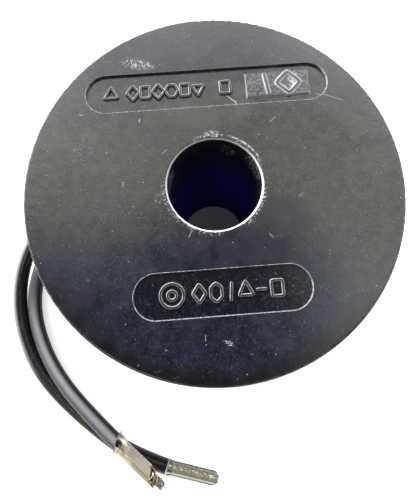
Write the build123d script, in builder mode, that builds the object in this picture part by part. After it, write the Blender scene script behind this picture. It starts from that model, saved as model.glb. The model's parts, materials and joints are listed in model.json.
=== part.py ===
"""Resin-encapsulated relay coil with a through bore and two flying leads, each with a crimped ferrule.

Millimetres. The coil stands on its plain back face: the origin is the centre of that face,
+Z runs up the bore to the marked front face, and +X runs along the two recesses of that face.
"""
from build123d import *
import math
import os

# ---------------------------------------------------------------- moulding
body_diameter = 64.0
body_height = 48.0
rim_radius = 0.4            # rounding of both outer rims
bore_diameter = 16.0
bore_chamfer = 0.4          # deburred edge at both mouths of the bore

# ---------------------------------------------------------------- marked face
recess_width = 7.3          # both marking recesses are slots of this width
recess_depth = 0.55
recess_rim_gap = 10.45      # from the rim to the recess edge, on the face's Y axis
long_recess_length = 43.2
short_recess_length = 28.5
recess_draft = 12.0         # degrees, the walls of the recesses
pad_length = 11.3           # raised block for the exchangeable stamp
pad_width = 4.7
pad_height = 0.4            # above the recess floor
pad_end_gap = 3.3           # from the pad to the end of the long recess

# ---------------------------------------------------------------- bobbin and winding
end_wall = 4.0              # moulding over each bobbin flange
bore_wall = 1.5             # moulding between the bore and the bobbin tube
bobbin_tube_wall = 1.5
flange_thickness = 1.8
flange_diameter = 49.0
winding_diameter = 45.0
tape_thickness = 0.5
flange_edge_radius = 0.4

# ---------------------------------------------------------------- leads
lead_diameter = 3.4
conductor_diameter = 2.0
conductor_clearance = 0.02  # radial, between the strands and the insulation
lead_flange_gap = 0.5       # between a lead and the flange that it passes over
arc_share = 0.45            # share of the shorter run that each arc of a lead takes

# ---------------------------------------------------------------- splices inside the moulding
splice_diameter = 3.2
splice_bore = 2.1
splice_length = 5.0
splice_gap = 0.8            # bare conductor between the insulation and the sleeve
tail_diameter = 0.7         # winding wire between a sleeve and the winding
tail_embed = 0.25           # how deep a tail lies in the outermost layer
tail_gap = 0.2              # from the strands' end to the tail, inside the sleeve

# ---------------------------------------------------------------- ferrules
ferrule_wall = 0.25
throat_clearance = 0.1      # radial, between the insulation and the throat that it enters
strand_clearance = 0.03     # between the pressed strands and the ferrule's wall
strand_start = 0.25         # from the insulation's end to where the strands begin to flatten
strand_tip = 0.35           # strands standing out of a ferrule's end
stub_length = 3.3           # twisted strands that stand out of ferrule A
stub_diameter = 1.8
stub_seat = 1.5             # how deep the stub starts in the pressed strands
stub_shoulder = 0.6         # where the stub widens, past the ferrule's end, and how long that takes

# ---------------------------------------------------------------- worked out
body_radius = body_diameter / 2
bore_radius = bore_diameter / 2
bobbin_bore_radius = bore_radius + bore_wall
winding_bore_radius = bobbin_bore_radius + bobbin_tube_wall
winding_radius = winding_diameter / 2
tape_radius = winding_radius + tape_thickness
bobbin_length = body_height - 2 * end_wall
winding_length = bobbin_length - 2 * flange_thickness
winding_base = end_wall + flange_thickness
recess_offset = body_radius - recess_rim_gap - recess_width / 2
recess_floor = body_height - recess_depth
exit_height = winding_base + lead_flange_gap + lead_diameter / 2
table_height = lead_diameter / 2
throat_diameter = lead_diameter + 2 * (ferrule_wall + throat_clearance)

# Each route starts in the moulding, leaves its side wall low down and lies on the resting surface.
# Lead A ends on top of lead B.
lead_a_points = [
    (-27.6, 8.5, exit_height), (-35.3, 5.0, 7.5), (-42.3, -0.9, 5.1), (-46.4, -8.1, 2.7),
    (-47.2, -16.6, table_height), (-44.4, -25.4, 2.4), (-39.7, -33.1, 3.7), (-33.0, -40.6, 4.9),
    (-25.2, -48.1, 5.7),
]
lead_b_points = [
    (-23.5, 15.5, exit_height), (-31.2, 12.4, exit_height), (-38.9, 8.6, 7.6), (-45.8, 2.8, 5.3),
    (-49.9, -4.9, 2.9), (-51.1, -13.6, table_height), (-49.3, -22.6, table_height),
    (-45.4, -30.9, table_height), (-39.1, -38.1, table_height), (-31.8, -44.6, table_height),
    (-23.7, -50.8, table_height), (-15.1, -54.25, 1.8),
]

# Where each winding tail meets the winding: degrees round the axis from +X.
tail_a_azimuth = 145.3
tail_b_azimuth = 115.2

# A ferrule's direction (degrees from +X, degrees above the level), its roll about its own axis and
# how far the insulation goes in past its mouth. A section is its distance from the mouth, its width,
# height and corner radius: the first is the mouth and the last the pressed barrel, which runs to
# the end. Slants turn the mouth and the cut end out of square (degrees), and a corner cut takes a
# length and a width off both corners of the end.
ferrule_a = {
    "heading": -43.5, "rise": 1.0, "roll": 24.0, "entry": 0.9, "length": 10.8,
    "sections": [
        (0.0, throat_diameter + 0.5, throat_diameter + 0.2, throat_diameter / 2),
        (1.3, throat_diameter, throat_diameter, throat_diameter / 2 - 0.05),
        (3.6, 3.2, 2.0, 0.5),
    ],
    "mouth_slant": 24.0, "end_slant": 34.0, "corner_cut": None,
}
ferrule_b = {
    "heading": -17.3, "rise": -2.0, "roll": 20.0, "entry": -0.25, "length": 11.7,
    "sections": [
        (0.0, lead_diameter + 0.2, lead_diameter + 0.2, lead_diameter / 2),
        (0.5, lead_diameter - 0.1, lead_diameter - 0.3, lead_diameter / 2 - 0.2),
        (1.6, 2.95, 2.0, 0.5),
    ],
    "mouth_slant": 0.0, "end_slant": 0.0, "corner_cut": (0.65, 0.9),
}


def lead_radii(points):
    """Radius of the arc at each inner point: as large as its two runs allow."""
    radii = []
    for before, corner, after in zip(points, points[1:], points[2:]):
        run_in = Vector(corner) - Vector(before)
        run_out = Vector(after) - Vector(corner)
        half_turn = math.radians(run_in.get_angle(run_out)) / 2
        radii.append(arc_share * min(run_in.length, run_out.length) / math.tan(half_turn))
    return radii


def lead_path(points, first=None):
    """Straight runs joined by tangent arcs; the first run may start further back along its line."""
    route = [first or points[0]] + points[1:]
    return FilletPolyline(*route, radius=lead_radii(points))


def section_plane(path, position):
    """Plane across a path at its start (0) or its end (1)."""
    return Plane(origin=path @ position, z_dir=path % position)


def back_along(points, distance):
    """Point on the line of the first run, this far behind the insulation's first point."""
    start = Vector(points[0])
    return start + (start - Vector(points[1])).normalized() * distance


def splice_plane(points, distance):
    """Plane across the splice, this far behind the insulation, facing into the coil."""
    inward = (Vector(points[0]) - Vector(points[1])).normalized()
    return Plane(origin=back_along(points, distance), z_dir=inward)


def ferrule_plane(points, ferrule, distance=0.0, slant=0.0):
    """Plane across a ferrule, this far from its mouth; local X is the barrel's broad direction."""
    heading = math.radians(ferrule["heading"])
    rise = math.radians(ferrule["rise"])
    roll = math.radians(ferrule["roll"])
    turn = math.radians(slant)
    axis = Vector(math.cos(heading) * math.cos(rise), math.sin(heading) * math.cos(rise), math.sin(rise))
    level = Vector(math.sin(heading), -math.cos(heading), 0)
    across = level * math.cos(turn) + axis * math.sin(turn)
    normal = axis * math.cos(turn) - level * math.sin(turn)
    broad = across * math.cos(roll) + level.cross(axis) * math.sin(roll)
    return Plane(origin=Vector(points[-1]) + axis * (distance - ferrule["entry"]), x_dir=broad, z_dir=normal)


def make_insulation(points, label):
    """PVC tube of a lead, from the splice to the ferrule's mouth."""
    with BuildPart() as insulation:
        with BuildLine() as route:
            lead_path(points)
        with BuildSketch(section_plane(route.line, 0)):
            Circle(lead_diameter / 2)
            Circle(conductor_diameter / 2 + conductor_clearance, mode=Mode.SUBTRACT)
        sweep()
    insulation.part.label = label
    length = route.wires()[0].length
    wall_area = math.pi * ((lead_diameter / 2) ** 2 - (conductor_diameter / 2 + conductor_clearance) ** 2)
    swept = insulation.part.volume / (wall_area * length)
    print(label, "length", round(length, 2), "volume share", round(swept, 5))
    print(label, "radii", [round(radius, 1) for radius in lead_radii(points)])
    return insulation.part


def shrunk(section, inset):
    """A section's width, height and corner radius, this far inside its outline."""
    distance, width, height, corner = section
    return width - 2 * inset, height - 2 * inset, corner - inset


def cut_end(points, ferrule, distance):
    """Cuts the active part off at the slanted plane across the ferrule, this far from its mouth."""
    end = ferrule_plane(points, ferrule, distance, ferrule["end_slant"])
    split(bisect_by=end, keep=Keep.BOTTOM)


def end_reach(ferrule):
    """How far past its centre a slanted end reaches at the side of the barrel."""
    width = ferrule["sections"][-1][1]
    return width * math.tan(math.radians(ferrule["end_slant"]))


def make_conductor(points, ferrule, stub, label):
    """Bundle of tinned strands: bare in the splice, round in the insulation, pressed in the ferrule."""
    barrel = ferrule["sections"][-1]
    barrel_start = barrel[0]
    pressed = shrunk(barrel, ferrule_wall + strand_clearance)
    with BuildPart() as conductor:
        with BuildLine() as route:
            lead_path(points, back_along(points, splice_gap + splice_length / 2))
        with BuildSketch(section_plane(route.line, 0)):
            Circle(conductor_diameter / 2)
        sweep()
        with Locations(Location(points[-1])):
            Sphere(conductor_diameter / 2)
        with BuildSketch(ferrule_plane(points, ferrule, ferrule["entry"] + strand_start)):
            RectangleRounded(conductor_diameter * 0.9, conductor_diameter * 0.9, conductor_diameter * 0.4)
        with BuildSketch(ferrule_plane(points, ferrule, barrel_start)):
            RectangleRounded(*pressed)
        loft()
        with BuildSketch(ferrule_plane(points, ferrule, barrel_start)):
            RectangleRounded(*pressed)
        extrude(amount=ferrule["length"] - barrel_start + strand_tip + end_reach(ferrule))
        cut_end(points, ferrule, ferrule["length"] + strand_tip)
        if stub:
            neck_radius = pressed[1] / 2 - strand_clearance
            shoulder_start = ferrule["length"] + stub_shoulder
            with BuildSketch(ferrule_plane(points, ferrule, ferrule["length"] - stub_seat)):
                Circle(neck_radius)
            extrude(amount=stub_seat + stub_shoulder)
            with BuildSketch(ferrule_plane(points, ferrule, shoulder_start)):
                Circle(neck_radius)
            with BuildSketch(ferrule_plane(points, ferrule, shoulder_start + stub_shoulder)):
                Circle(stub_diameter / 2)
            loft()
            with BuildSketch(ferrule_plane(points, ferrule, shoulder_start + stub_shoulder)):
                Circle(stub_diameter / 2)
            extrude(amount=stub_length - 2 * stub_shoulder)
    conductor.part.label = label
    return conductor.part


def make_ferrule(points, ferrule, label):
    """Tinned copper sleeve: a flared mouth that draws down to the pressed barrel."""
    mouth, throat, barrel = ferrule["sections"]
    barrel_start, barrel_width, barrel_height = barrel[:3]
    with BuildPart() as sleeve:
        for inset, mode in ((0.0, Mode.ADD), (ferrule_wall, Mode.SUBTRACT)):
            with BuildSketch(ferrule_plane(points, ferrule, mouth[0], ferrule["mouth_slant"])):
                RectangleRounded(*shrunk(mouth, inset))
            with BuildSketch(ferrule_plane(points, ferrule, throat[0])):
                RectangleRounded(*shrunk(throat, inset))
            loft(mode=mode)
            with BuildSketch(ferrule_plane(points, ferrule, throat[0])):
                RectangleRounded(*shrunk(throat, inset))
            with BuildSketch(ferrule_plane(points, ferrule, barrel_start)):
                RectangleRounded(*shrunk(barrel, inset))
            loft(mode=mode)
            with BuildSketch(ferrule_plane(points, ferrule, barrel_start)):
                RectangleRounded(*shrunk(barrel, inset))
            extrude(amount=ferrule["length"] - barrel_start + end_reach(ferrule), mode=mode)
        if ferrule["end_slant"]:
            cut_end(points, ferrule, ferrule["length"])
        if ferrule["corner_cut"]:
            cut_length, cut_width = ferrule["corner_cut"]
            end = ferrule_plane(points, ferrule, ferrule["length"])
            with BuildSketch(Plane(origin=end.origin, x_dir=end.z_dir, z_dir=end.y_dir)):
                for side in (-1, 1):
                    with BuildLine():
                        Polyline(
                            (0, side * barrel_width / 2),
                            (-cut_length, side * barrel_width / 2),
                            (0, side * (barrel_width / 2 - cut_width)),
                            close=True,
                        )
                    make_face()
            extrude(amount=barrel_height, both=True, mode=Mode.SUBTRACT)
    sleeve.part.label = label
    return sleeve.part


def make_splice(points, label):
    """Crimp sleeve in which a winding tail joins a lead's strands."""
    with BuildPart() as splice:
        with BuildSketch(splice_plane(points, splice_gap)):
            Circle(splice_diameter / 2)
            Circle(splice_bore / 2, mode=Mode.SUBTRACT)
        extrude(amount=splice_length)
    splice.part.label = label
    return splice.part


def tail_line(points, azimuth):
    """Ends of a winding tail: from the middle of its splice to the outermost layer."""
    start = back_along(points, splice_gap + splice_length / 2 + tail_gap)
    reach = winding_radius - tail_embed
    angle = math.radians(azimuth)
    return start, Vector(reach * math.cos(angle), reach * math.sin(angle), start.Z)


# ---------------------------------------------------------------- leads and what is on them
lead_a = make_insulation(lead_a_points, "lead_a")
lead_b = make_insulation(lead_b_points, "lead_b")
conductor_a = make_conductor(lead_a_points, ferrule_a, True, "conductor_a")
conductor_b = make_conductor(lead_b_points, ferrule_b, False, "conductor_b")
sleeve_a = make_ferrule(lead_a_points, ferrule_a, "ferrule_a")
sleeve_b = make_ferrule(lead_b_points, ferrule_b, "ferrule_b")
splice_a = make_splice(lead_a_points, "splice_a")
splice_b = make_splice(lead_b_points, "splice_b")

# ---------------------------------------------------------------- bobbin: one revolved spool
with BuildPart() as bobbin:
    with BuildSketch(Plane.XZ):
        with BuildLine():
            Polyline(
                (bobbin_bore_radius, end_wall),
                (flange_diameter / 2, end_wall),
                (flange_diameter / 2, winding_base),
                (winding_bore_radius, winding_base),
                (winding_bore_radius, winding_base + winding_length),
                (flange_diameter / 2, winding_base + winding_length),
                (flange_diameter / 2, end_wall + bobbin_length),
                (bobbin_bore_radius, end_wall + bobbin_length),
                close=True,
            )
        make_face()
    revolve(axis=Axis.Z)
    flange_rims = bobbin.edges().filter_by(GeomType.CIRCLE).filter_by(
        lambda edge: abs(edge.radius - flange_diameter / 2) < 0.01
    )
    fillet(flange_rims, radius=min(flange_edge_radius, flange_thickness / 3))
bobbin.part.label = "bobbin"

# ---------------------------------------------------------------- winding with its two tails
with BuildPart() as winding:
    with BuildSketch(Plane.XY.offset(winding_base)):
        Circle(winding_radius)
        Circle(winding_bore_radius, mode=Mode.SUBTRACT)
    extrude(amount=winding_length)
    for points, azimuth in ((lead_a_points, tail_a_azimuth), (lead_b_points, tail_b_azimuth)):
        tail_start, tail_end = tail_line(points, azimuth)
        with BuildSketch(Plane(origin=tail_start, z_dir=tail_end - tail_start)):
            Circle(tail_diameter / 2)
        extrude(amount=(tail_end - tail_start).length)
winding.part.label = "winding"

# ---------------------------------------------------------------- insulating tape over the winding
with BuildPart() as tape:
    with BuildSketch(Plane.XY.offset(winding_base)):
        Circle(tape_radius)
        Circle(winding_radius, mode=Mode.SUBTRACT)
    extrude(amount=winding_length)
    add(winding.part, mode=Mode.SUBTRACT)
tape.part.label = "tape"

# ---------------------------------------------------------------- moulding
with BuildPart() as moulding:
    with BuildSketch():
        Circle(body_radius)
    extrude(amount=body_height)
    fillet(moulding.edges().filter_by(GeomType.CIRCLE), radius=rim_radius)
    # The two marking recesses, and the raised pad left standing in the long one.
    with BuildSketch(Plane.XY.offset(body_height)):
        with Locations((0, recess_offset)):
            SlotOverall(long_recess_length, recess_width)
        with Locations((0, -recess_offset)):
            SlotOverall(short_recess_length, recess_width)
    extrude(amount=-recess_depth, taper=recess_draft, mode=Mode.SUBTRACT)
    with BuildSketch(Plane.XY.offset(recess_floor)):
        with Locations((long_recess_length / 2 - pad_end_gap - pad_length / 2, recess_offset)):
            Rectangle(pad_length, pad_width)
    extrude(amount=pad_height, taper=recess_draft)
    # The bore, deburred at both mouths.
    with BuildSketch():
        Circle(bore_radius)
    extrude(amount=body_height, mode=Mode.SUBTRACT)
    bore_mouths = moulding.edges().filter_by(GeomType.CIRCLE).filter_by(
        lambda edge: abs(edge.radius - bore_radius) < 0.01
    )
    chamfer(bore_mouths, length=bore_chamfer)
    # The resin is cast round everything inside.
    add(bobbin.part, mode=Mode.SUBTRACT)
    add(tape.part, mode=Mode.SUBTRACT)
    add(winding.part, mode=Mode.SUBTRACT)
    for points, insulation in ((lead_a_points, lead_a), (lead_b_points, lead_b)):
        add(insulation, mode=Mode.SUBTRACT)
        with BuildSketch(splice_plane(points, splice_gap)):
            Circle(splice_diameter / 2)
        extrude(amount=splice_length, mode=Mode.SUBTRACT)
    add(conductor_a, mode=Mode.SUBTRACT)
    add(conductor_b, mode=Mode.SUBTRACT)
moulding.part.label = "moulding"

# ---------------------------------------------------------------- one file for each piece
os.makedirs("parts", exist_ok=True)
pieces = [
    moulding.part, bobbin.part, winding.part, tape.part, splice_a, splice_b,
    lead_a, lead_b, conductor_a, conductor_b, sleeve_a, sleeve_b,
]
for piece in pieces:
    export_step(piece, f"parts/{piece.label}.step")
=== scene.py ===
"""Looks of a resin-encapsulated relay coil with two flying leads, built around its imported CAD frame.

Everything is in metres in the part's own frame: the origin is the centre of the back face, which rests on
the floor, +Z runs up the bore to the marked face and +X runs along that face's two recesses.
"""
import json
import math
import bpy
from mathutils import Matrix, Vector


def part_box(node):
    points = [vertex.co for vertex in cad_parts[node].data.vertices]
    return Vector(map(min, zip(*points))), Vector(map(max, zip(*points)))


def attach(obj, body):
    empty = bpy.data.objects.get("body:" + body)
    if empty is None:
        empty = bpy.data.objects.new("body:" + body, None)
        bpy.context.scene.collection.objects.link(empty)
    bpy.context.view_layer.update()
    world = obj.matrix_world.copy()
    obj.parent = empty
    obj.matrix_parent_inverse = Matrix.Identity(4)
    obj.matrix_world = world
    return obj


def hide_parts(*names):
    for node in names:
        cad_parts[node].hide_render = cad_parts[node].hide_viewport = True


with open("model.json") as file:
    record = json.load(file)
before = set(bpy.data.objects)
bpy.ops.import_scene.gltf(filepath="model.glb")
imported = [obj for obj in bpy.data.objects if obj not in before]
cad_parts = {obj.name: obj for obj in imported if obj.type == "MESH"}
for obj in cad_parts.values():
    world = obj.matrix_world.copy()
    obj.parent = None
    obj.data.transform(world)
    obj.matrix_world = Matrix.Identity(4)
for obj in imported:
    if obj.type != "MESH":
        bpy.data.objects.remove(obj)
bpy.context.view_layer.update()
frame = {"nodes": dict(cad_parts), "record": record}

from types import SimpleNamespace

import bmesh
import bpy
import numpy as np
from mathutils import Matrix, Vector

MM = 0.001
nodes = frame["nodes"]

# ---------------------------------------------------------------- sizes in millimetres, read from the frame
BODY_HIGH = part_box("moulding")[1] / MM
BODY_RADIUS = BODY_HIGH.x
FACE = BODY_HIGH.z
BORE_RADIUS = next(m["dims"]["r_mm"] for m in frame["record"]["mounts"] if m["name"] == "bore")


# ---------------------------------------------------------------- helpers
def colour(code):
    """Linear RGBA of an sRGB hex value."""
    channels = [int(code[i:i + 2], 16) / 255 for i in (1, 3, 5)]
    return tuple(c / 12.92 if c <= 0.04045 else ((c + 0.055) / 1.055) ** 2.4 for c in channels) + (1.0,)


def pick(sockets, key):
    """The socket with that name, or that place, among those in use."""
    usable = [s for s in sockets if s.enabled]
    return usable[key] if isinstance(key, int) else next(s for s in usable if s.name == key)


def add(tree, kind, inputs=None, **settings):
    """Adds one node: settings are its properties, inputs its constants or what feeds them."""
    made = tree.nodes.new("ShaderNode" + kind)
    for name, value in settings.items():
        setattr(made, name, value)
    for key, value in (inputs or {}).items():
        if isinstance(value, bpy.types.Node):
            value = pick(value.outputs, 0)
        if isinstance(value, bpy.types.NodeSocket):
            tree.links.new(value, pick(made.inputs, key))
        else:
            pick(made.inputs, key).default_value = value
    return made


def new_material(name):
    """An empty node material, its tree and its millimetre Object coordinates."""
    made = bpy.data.materials.new(name)
    made.use_nodes = True
    tree = made.node_tree
    tree.nodes.clear()
    place = add(tree, "TexCoord")
    mm = add(tree, "VectorMath", {0: pick(place.outputs, "Object"), "Scale": 1 / MM}, operation="SCALE")
    return made, tree, mm


def surface(tree, **inputs):
    """Ends a material in one Principled shader; a key's underscores stand for spaces."""
    shader = add(tree, "BsdfPrincipled", {key.replace("_", " "): value for key, value in inputs.items()})
    add(tree, "OutputMaterial", {"Surface": shader})


def layered(tree, base, *coats):
    """A base colour with coats laid over it in turn: (mask, colour) of each. A colour is a hex value or
    what another node gives."""
    found, *shades = [colour(c) if isinstance(c, str) else c for c in (base, *(coat[1] for coat in coats))]
    for (mask, _), shade in zip(coats, shades):
        found = add(tree, "Mix", {"Factor": mask, "A": found, "B": shade}, data_type="RGBA")
    return found


def raised(tree, *reliefs):
    """The normal of a skin that patterns raise in turn: (pattern, strength, millimetres) of each."""
    found = None
    for pattern, strength, height in reliefs:
        below = {"Normal": found} if found else {}
        found = add(tree, "Bump", {"Height": pattern, "Strength": strength, "Distance": height * MM, **below})
    return found


def placed(name, data):
    """A new object in the scene that holds this data."""
    made = bpy.data.objects.new(name, data)
    bpy.context.scene.collection.objects.link(made)
    return made


def dress(node, material):
    """Gives a CAD node its finish."""
    nodes[node].data.materials.clear()
    nodes[node].data.materials.append(material)


def grid_faces(rows, columns, closed_rows):
    """Quads of a rows x columns grid whose columns close on themselves, and where each corner reads its
    UV."""
    i = np.arange(rows if closed_rows else rows - 1)[:, None]
    j = np.arange(columns)[None, :]
    corners = ((i, j), (i, j + 1), (i + 1, j + 1), (i + 1, j))
    faces = np.broadcast_arrays(*[(a % rows) * columns + b % columns for a, b in corners])
    spots = np.broadcast_arrays(*[a * (columns + 1) + b for a, b in corners])
    return np.stack(faces, -1).reshape(-1, 4), np.stack(spots, -1).reshape(-1, 4)


def mesh_piece(name, stacks, material, sharp=40):
    """A piece of closed surfaces. Each stack holds alike grids of points in millimetres (copies, rows,
    columns, 3), their pattern coordinates in millimetres (copies, rows + 1, columns + 1, 2) and whether
    the rows close too. Faces are turned outward by the sign of the enclosed volume."""
    points, faces, pattern, start = [], [], [], 0
    for shape, marks, closed_rows in stacks:
        copies, rows, columns = shape.shape[:3]
        quads, spots = grid_faces(rows, columns, closed_rows)
        a, b, c, d = np.moveaxis(shape[0].reshape(-1, 3)[quads], 1, 0)
        if np.sum(a * (np.cross(b, c) + np.cross(c, d))) < 0:
            quads, spots = quads[:, ::-1], spots[:, ::-1]
        offsets = start + np.arange(copies)[:, None, None] * rows * columns
        points.append(shape.reshape(-1, 3))
        faces.append((quads + offsets).reshape(-1, 4))
        pattern.append(marks.reshape(copies, -1, 2)[:, spots].reshape(-1, 2))
        start += copies * rows * columns
    mesh = bpy.data.meshes.new(name)
    mesh.from_pydata((np.concatenate(points) * MM).tolist(), [], np.concatenate(faces).tolist())
    mesh.uv_layers.new(name="mm").data.foreach_set("uv", np.concatenate(pattern).ravel())
    mesh.polygons.foreach_set("use_smooth", np.ones(len(mesh.polygons), dtype=bool))
    shell = bmesh.new()
    shell.from_mesh(mesh)
    bmesh.ops.remove_doubles(shell, verts=shell.verts, dist=0.0005 * MM)
    shell.to_mesh(mesh)
    shell.free()
    mesh.set_sharp_from_angle(angle=math.radians(sharp))
    mesh.materials.append(material)
    piece = placed(name, mesh)
    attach(piece, "root")
    return piece


def tubes(lines, radii, columns, reference, lobes=0, lobe_depth=0.0):
    """Closed tubes along lines (copies, steps, 3): centre + radius x (cos, sin) in the plane across the
    line, with the radius waved by its lobes, and each end drawn in to a point. Pattern: round the tube,
    millimetres back from the tip."""
    copies, steps = lines.shape[:2]
    run = np.gradient(lines, axis=1)
    run /= np.linalg.norm(run, axis=2, keepdims=True)
    side = np.cross(run, np.asarray(reference, dtype=float))
    side /= np.linalg.norm(side, axis=2, keepdims=True)
    up = np.cross(side, run)
    angle = np.arange(columns) * 2 * np.pi / columns
    wave = 1 - lobe_depth * (0.5 - 0.5 * np.cos(lobes * angle))
    radius = (np.broadcast_to(radii, (copies, steps))[:, :, None] * wave)[..., None]
    ring = lines[:, :, None] + radius * (np.cos(angle)[:, None] * side[:, :, None]
                                         + np.sin(angle)[:, None] * up[:, :, None])
    start = np.repeat(lines[:, :1, None], columns, axis=2)
    end = np.repeat(lines[:, -1:, None], columns, axis=2)
    shape = np.concatenate([start, ring, end], axis=1)
    step = np.linalg.norm(np.diff(lines, axis=1), axis=2)
    back = np.concatenate([np.cumsum(step[:, ::-1], axis=1)[:, ::-1], np.zeros((copies, 1))], axis=1)
    back = np.concatenate([back[:, :1], back, back[:, -1:], back[:, -1:]], axis=1)
    around = np.broadcast_to(np.linspace(0, 1, columns + 1), (copies, steps + 3, columns + 1))
    marks = np.stack([around, np.broadcast_to(back[:, :, None], around.shape)], axis=-1)
    return shape, marks, False


# ---------------------------------------------------------------- camera
LENS_MM = 32.42
CAMERA_SHIFT = (-0.0072, -0.1038)
CAMERA_PLACE = Vector((-2.2, -22.1, 120.2)) * MM
CAMERA_TURN = (15.21, -0.39, -3.92)       # degrees: pitch, roll about the view, turn about Z


def make_camera():
    """The camera: it looks down at the face from a little in front of the coil, slightly turned."""
    data = bpy.data.cameras.new("camera")
    data.lens = LENS_MM
    data.shift_x, data.shift_y = CAMERA_SHIFT
    data.clip_start = 1 * MM
    camera = placed("camera", data)
    pitch, roll, turn = (math.radians(a) for a in CAMERA_TURN)
    camera.matrix_world = (Matrix.Translation(CAMERA_PLACE) @ Matrix.Rotation(turn, 4, "Z")
                           @ Matrix.Rotation(pitch, 4, "X") @ Matrix.Rotation(roll, 4, "Z"))
    bpy.context.scene.camera = camera


# ---------------------------------------------------------------- leads
LEAD_DIAMETER = 3.4 * MM
LEAD_A_ROUTE = [
    (-27.6, 8.5, 8.0), (-35.3, 5.0, 7.5), (-42.3, -0.9, 5.1), (-46.4, -8.1, 2.7), (-47.2, -16.6, 1.7),
    (-44.4, -25.4, 2.4), (-39.7, -33.1, 3.7), (-33.0, -40.6, 4.9), (-25.2, -48.1, 5.7),
]
LEAD_B_ROUTE = [
    (-23.5, 15.5, 8.0), (-31.2, 12.4, 8.0), (-38.9, 8.6, 7.6), (-45.8, 2.8, 5.3), (-49.9, -4.9, 2.9),
    (-51.1, -13.6, 1.7), (-49.3, -22.6, 1.7), (-45.4, -30.9, 1.7), (-39.1, -38.1, 1.7),
    (-31.8, -44.6, 1.7), (-23.7, -50.8, 1.7), (-15.1, -54.25, 1.8),
]
BARE_LENGTH = 3.3                         # strands between the insulation and the middle of the splice
LINE_STEPS = 16                           # points of a lead between two of its route's
LEAD_BEVEL = 10                           # Blender's steps of a lead's roundness


def route_curve(name, route):
    """One open NURBS spline of order 3 that reaches its end points."""
    data = bpy.data.curves.new(name, "CURVE")
    data.dimensions = "3D"
    spline = data.splines.new("NURBS")
    spline.points.add(len(route) - 1)
    for point, place in zip(spline.points, route):
        point.co = (*(Vector(place) * MM), 1)
    spline.order_u = 3
    spline.use_endpoint_u = True
    spline.resolution_u = LINE_STEPS
    return placed(name, data)


def make_lead(name, route, material):
    """A round insulated wire along its route."""
    lead = route_curve(name, route)
    lead.data.bevel_depth = LEAD_DIAMETER / 2
    lead.data.bevel_resolution = LEAD_BEVEL
    lead.data.use_fill_caps = True
    lead.data.materials.append(material)
    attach(lead, "root")
    return lead


def route_line(route):
    """Points in millimetres along a route's own spline, as Blender draws it with no bevel."""
    bare = route_curve("line", route)
    mesh = bpy.data.meshes.new_from_object(bare)
    line = np.empty(len(mesh.vertices) * 3)
    mesh.vertices.foreach_get("co", line)
    bpy.data.objects.remove(bare)
    bpy.data.meshes.remove(mesh)
    return line.reshape(-1, 3) / MM


# ---------------------------------------------------------------- ferrules and strands
CORNER_CUT_WIDTH = 0.9


class Ferrule:
    """A pressed sleeve's own axes and section sizes, in millimetres from the middle of its mouth, and angles
    in degrees. The lead's end is entry inside the mouth."""

    def __init__(self, tip, heading, rise, roll, entry, length, table, mouth_slant, end_slant, end_tilt,
                 corner_cut):
        heading, rise, self.roll = (math.radians(a) for a in (heading, rise, roll))
        self.axis = np.array([math.cos(heading) * math.cos(rise), math.sin(heading) * math.cos(rise),
                              math.sin(rise)])
        level = np.array([math.sin(heading), -math.cos(heading), 0.0])
        self.broad = level * math.cos(self.roll) + np.cross(level, self.axis) * math.sin(self.roll)
        self.down = np.cross(self.axis, self.broad)
        self.mouth = np.array(tip) - self.axis * entry
        self.length = length
        self.table = np.array(table)
        self.mouth_slant = math.tan(math.radians(mouth_slant))
        self.end_slant = math.tan(math.radians(end_slant))
        self.end_tilt = end_tilt
        self.corner_cut = corner_cut

    def world(self, x, y, z):
        """Part coordinates of points across (x, y) and along (z) the sleeve."""
        return (self.mouth + x[..., None] * self.broad + y[..., None] * self.down
                + z[..., None] * self.axis)

    def sizes(self, z):
        """Width, height and corner radius at a distance: smoothstep from each table row to the next."""
        rows = self.table[:, 0]
        place = np.clip(np.searchsorted(rows, z, side="right") - 1, 0, len(rows) - 2)
        share = np.clip((z - rows[place]) / (rows[place + 1] - rows[place]), 0, 1)
        share = (share * share * (3 - 2 * share))[..., None]
        return np.moveaxis(self.table[place, 1:] * (1 - share) + self.table[place + 1, 1:] * share, -1, 0)

    def lean(self, x, y, z):
        """How far a point moves along the sleeve so that the mouth and the cut end are slanted."""
        level = x * math.cos(self.roll) + y * math.sin(self.roll)
        barrel = self.table[-1, 0]
        at_mouth = np.clip(1 - z / barrel, 0, 1) * self.mouth_slant * level
        corner = np.clip((np.abs(x) - self.table[-1, 1] / 2) / CORNER_CUT_WIDTH + 1, 0, 1)
        shift = self.end_slant * level + self.end_tilt * y - self.corner_cut * corner
        return at_mouth + np.clip((z - barrel) / (self.length - barrel), 0, 1.1) * shift


def rounded_outline(width, height, corner, share):
    """Points at even shares of a rounded rectangle's outline: half a side, an arc and half the next side,
    mirrored into the four quarters."""
    quarter = np.floor(4 * share) % 4
    local = 4 * share - np.floor(4 * share)
    side, top, arc = height / 2 - corner, width / 2 - corner, corner * np.pi / 2
    run = np.where(quarter % 2 == 1, 1 - local, local) * (side + arc + top)
    angle = np.clip((run - side) / corner, 0, np.pi / 2)
    x = np.where(run > side + arc, top - (run - side - arc), top + corner * np.cos(angle))
    y = np.where(run < side, run, side + corner * np.sin(angle))
    return x * np.where((quarter == 1) | (quarter == 2), -1, 1), y * np.where(quarter >= 2, -1, 1)


FERRULE_WALL = 0.25
STRIP_EDGE = 0.05                         # how far the strip's rounded edge stands past a sleeve's ends
SMALLEST_CORNER = 0.12
INSIDE_MARK = 100.0                       # added to the lengthwise pattern coordinate inside a sleeve
FERRULE_ROWS = 150
FERRULE_COLUMNS = 144


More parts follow.
